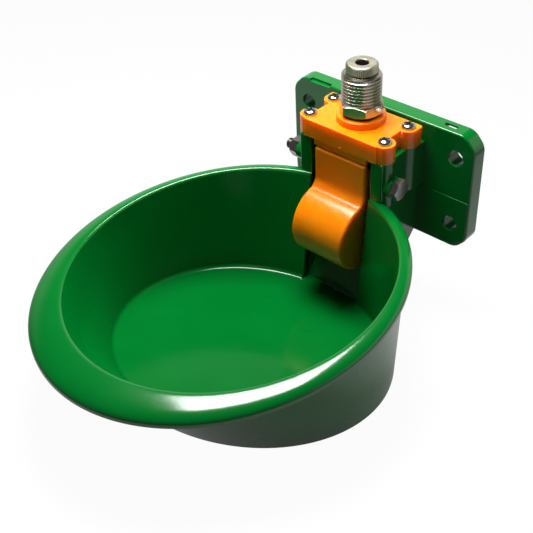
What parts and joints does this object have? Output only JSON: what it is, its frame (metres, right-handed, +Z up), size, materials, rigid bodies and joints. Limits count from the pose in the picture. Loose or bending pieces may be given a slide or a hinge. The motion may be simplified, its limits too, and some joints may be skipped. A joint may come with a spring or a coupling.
{
  "type": "livestock drinking bowl",
  "caption": "Wall-mounted oval drinking bowl for livestock with a rolled rim, a push paddle on a pivot bolt and a water valve in a raised cover.",
  "frame": {"origin": "centre of the four wall bolt holes, on the back face of the wall plate", "axes": "+X along the wall plate to the right seen from the front, +Y into the wall, +Z up along the valve"},
  "size_m": [0.17, 0.2256, 0.1355],
  "materials": {
    "green_plastic": "glossy moulded plastic",
    "orange_plastic": "satin moulded plastic",
    "nickel_brass": "nickel-plated brass, turned",
    "stainless_steel": "bright stainless steel",
    "rubber": "matte rubber",
    "strainer_plastic": "matte moulded plastic"
  },
  "bodies": {
    "housing": {"bowl_housing": "green_plastic", "cover_plate": "orange_plastic", "cover_screw_front_left": "stainless_steel", "cover_screw_front_right": "stainless_steel", "cover_screw_back_left": "stainless_steel", "cover_screw_back_right": "stainless_steel", "pivot_bolt": "stainless_steel", "pivot_nut": "stainless_steel", "pivot_sleeve": "stainless_steel", "valve_body": "nickel_brass", "valve_gasket": "rubber", "valve_lock_nut": "nickel_brass", "inlet_cap": "nickel_brass", "inlet_filter": "strainer_plastic", "valve_spring": "stainless_steel"},
    "push_paddle": {"paddle": "orange_plastic"},
    "stem": {"valve_stem": "nickel_brass", "stem_seal": "rubber", "seal_clip": "stainless_steel"}
  },
  "joints": [
    {"name": "paddle_pivot", "type": "hinge", "parent": "housing", "child": "push_paddle", "pos_m": [0, -0.0355, 0.009], "axis": [1, 0, 0], "range_deg": [0, 8], "stiffness_Nm_per_rad": 0.1, "springref_deg": -18.91},
    {"name": "stem_lift", "type": "slide", "parent": "housing", "child": "stem", "axis": [0, 0, 1], "range_m": [0, 0.0017], "deforming": ["valve_spring"]}
  ],
  "couplings": [
    {"joint": "stem_lift", "follows": "paddle_pivot", "m_per_rad": 0.011}
  ]
}
